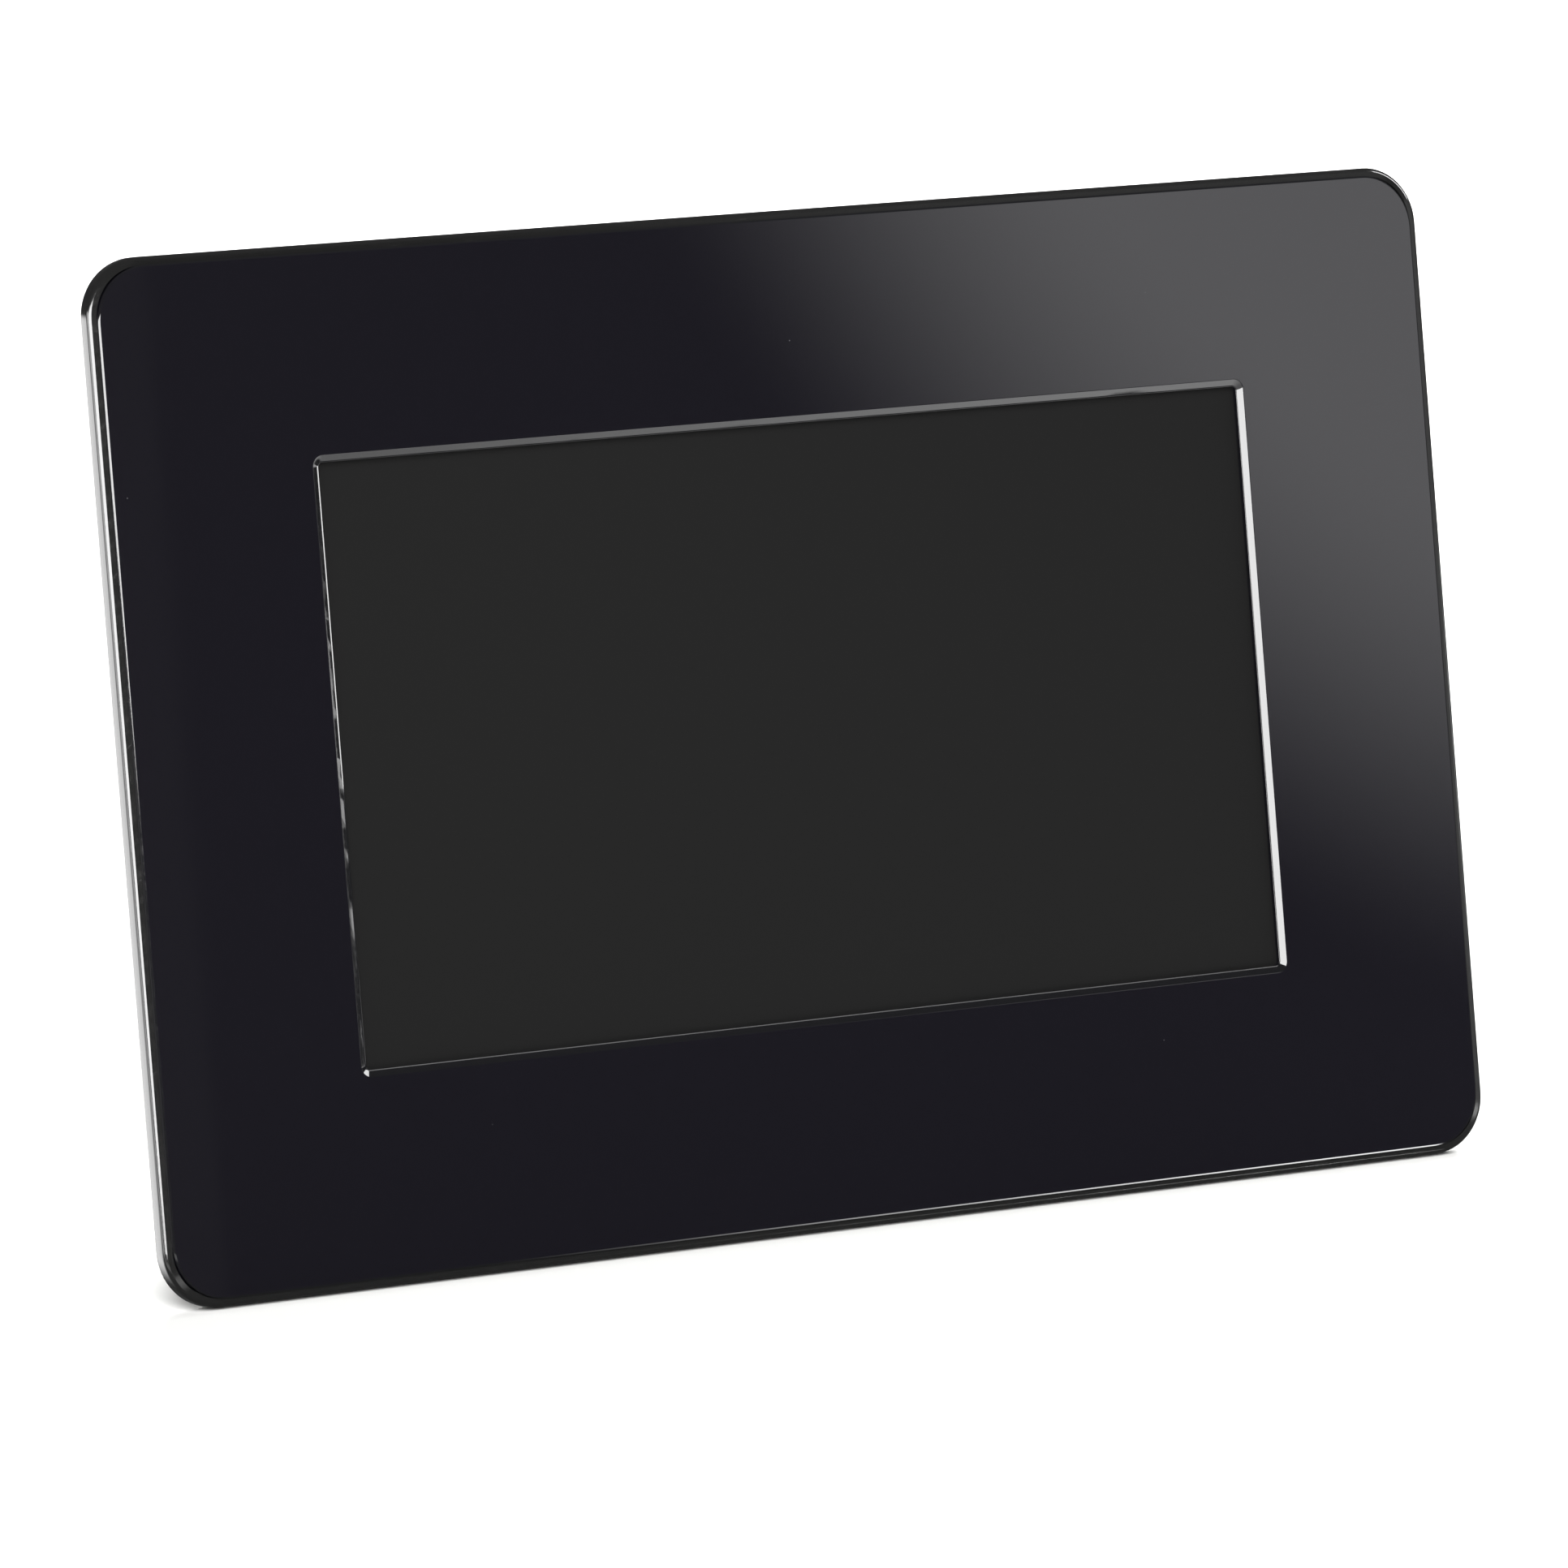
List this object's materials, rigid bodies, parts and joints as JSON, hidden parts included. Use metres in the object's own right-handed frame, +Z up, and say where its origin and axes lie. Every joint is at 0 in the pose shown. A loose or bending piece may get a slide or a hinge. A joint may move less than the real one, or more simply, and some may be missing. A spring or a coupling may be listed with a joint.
{
  "type": "digital photo frame",
  "caption": "Landscape digital photo frame with a wide glossy black bezel around a small screen, a shallow rear housing and a fold-out leg that stands it on a table.",
  "frame": {"origin": "centre of the footprint, on the surface that the frame stands on", "axes": "+X to the right as the viewer sees the screen, +Y away from the viewer, +Z up; the screen faces -Y and leans back 16 degrees"},
  "size_m": [0.2226, 0.0852, 0.1435],
  "materials": {
    "gloss_black_panel": "black acrylic sheet, polished, with a polished bevel",
    "satin_black_rim": "moulded ABS, polished, softer than the panel",
    "screen_polariser": "anti-glare polariser over glass, switched off",
    "white_frame_plastic": "moulded, matt",
    "diffuser_film": "matt film",
    "clear_acrylic": "clear, polished edges",
    "led_strip": "white board with yellow phosphor chips",
    "plated_steel": "zinc plated sheet",
    "dark_screw_steel": "black zinc",
    "circuit_board": "green solder mask on glass fibre",
    "chip_epoxy": "black moulding compound",
    "capacitor_can": "drawn can",
    "socket_shell": "nickel plated shell",
    "black_nylon": "moulded, satin",
    "amber_film": "polyimide film",
    "white_cable": "flat cable",
    "textured_black_cover": "moulded ABS with a fine spark texture",
    "key_plastic": "moulded ABS, satin",
    "label_film": "blank silver polyester label",
    "bright_pin_steel": "ground pin",
    "black_rubber": "matt rubber"
  },
  "bodies": {
    "root": {"back_cover": "textured_black_cover", "board_screw_1": "dark_screw_steel", "board_screw_2": "dark_screw_steel", "board_screw_3": "dark_screw_steel", "board_screw_4": "dark_screw_steel", "bracket_screw_1": "dark_screw_steel", "bracket_screw_2": "dark_screw_steel", "bracket_screw_3": "dark_screw_steel", "bracket_screw_4": "dark_screw_steel", "capacitor_1": "capacitor_can", "capacitor_2": "capacitor_can", "card_socket": "socket_shell", "cover_screw_1": "dark_screw_steel", "cover_screw_2": "dark_screw_steel", "cover_screw_3": "dark_screw_steel", "cover_screw_4": "dark_screw_steel", "dc_socket": "black_nylon", "diffuser_sheet": "diffuser_film", "flash_chip": "chip_epoxy", "front_bezel": "satin_black_rim", "front_panel": "gloss_black_panel", "key_board": "circuit_board", "key_board_cable": "white_cable", "key_board_screw_1": "dark_screw_steel", "key_board_screw_2": "dark_screw_steel", "lcd_bracket_left": "plated_steel", "lcd_bracket_right": "plated_steel", "lcd_glass": "screen_polariser", "lcd_mold_frame": "white_frame_plastic", "lcd_ribbon": "amber_film", "lcd_tray": "plated_steel", "led_bar": "led_strip", "light_guide": "clear_acrylic", "main_board": "circuit_board", "memory_chip": "chip_epoxy", "power_coil": "chip_epoxy", "power_switch_body": "socket_shell", "processor_chip": "chip_epoxy", "rating_label": "label_film", "ribbon_connector": "white_frame_plastic", "stand_pin": "bright_pin_steel", "tact_switch_1": "black_nylon", "tact_switch_2": "black_nylon", "tact_switch_3": "black_nylon", "tact_switch_4": "black_nylon", "tact_switch_5": "black_nylon", "tact_switch_6": "black_nylon", "usb_socket": "socket_shell"},
    "stand_leg": {"stand_leg": "textured_black_cover", "leg_foot_pad": "black_rubber"},
    "key_menu": {"key_menu": "key_plastic"},
    "key_left": {"key_left": "key_plastic"},
    "key_up": {"key_up": "key_plastic"},
    "key_down": {"key_down": "key_plastic"},
    "key_right": {"key_right": "key_plastic"},
    "key_enter": {"key_enter": "key_plastic"},
    "power_switch": {"power_switch_knob": "black_nylon"}
  },
  "joints": [
    {"name": "leg_fold", "type": "hinge", "parent": "root", "child": "stand_leg", "pos_m": [0, 0.00455, 0.10396], "axis": [1, 0, 0], "range_deg": [-35, 0]},
    {"name": "key_menu_press", "type": "slide", "parent": "root", "child": "key_menu", "axis": [0, -0.9613, 0.2756], "range_m": [0, 0.0007], "stiffness_N_per_m": 500, "springref_m": -0.0004},
    {"name": "key_left_press", "type": "slide", "parent": "root", "child": "key_left", "axis": [0, -0.9613, 0.2756], "range_m": [0, 0.0007], "stiffness_N_per_m": 500, "springref_m": -0.0004},
    {"name": "key_up_press", "type": "slide", "parent": "root", "child": "key_up", "axis": [0, -0.9613, 0.2756], "range_m": [0, 0.0007], "stiffness_N_per_m": 500, "springref_m": -0.0004},
    {"name": "key_down_press", "type": "slide", "parent": "root", "child": "key_down", "axis": [0, -0.9613, 0.2756], "range_m": [0, 0.0007], "stiffness_N_per_m": 500, "springref_m": -0.0004},
    {"name": "key_right_press", "type": "slide", "parent": "root", "child": "key_right", "axis": [0, -0.9613, 0.2756], "range_m": [0, 0.0007], "stiffness_N_per_m": 500, "springref_m": -0.0004},
    {"name": "key_enter_press", "type": "slide", "parent": "root", "child": "key_enter", "axis": [0, -0.9613, 0.2756], "range_m": [0, 0.0007], "stiffness_N_per_m": 500, "springref_m": -0.0004},
    {"name": "power_slide", "type": "slide", "parent": "root", "child": "power_switch", "axis": [0, 0.2756, 0.9613], "range_m": [0, 0.002]}
  ]
}
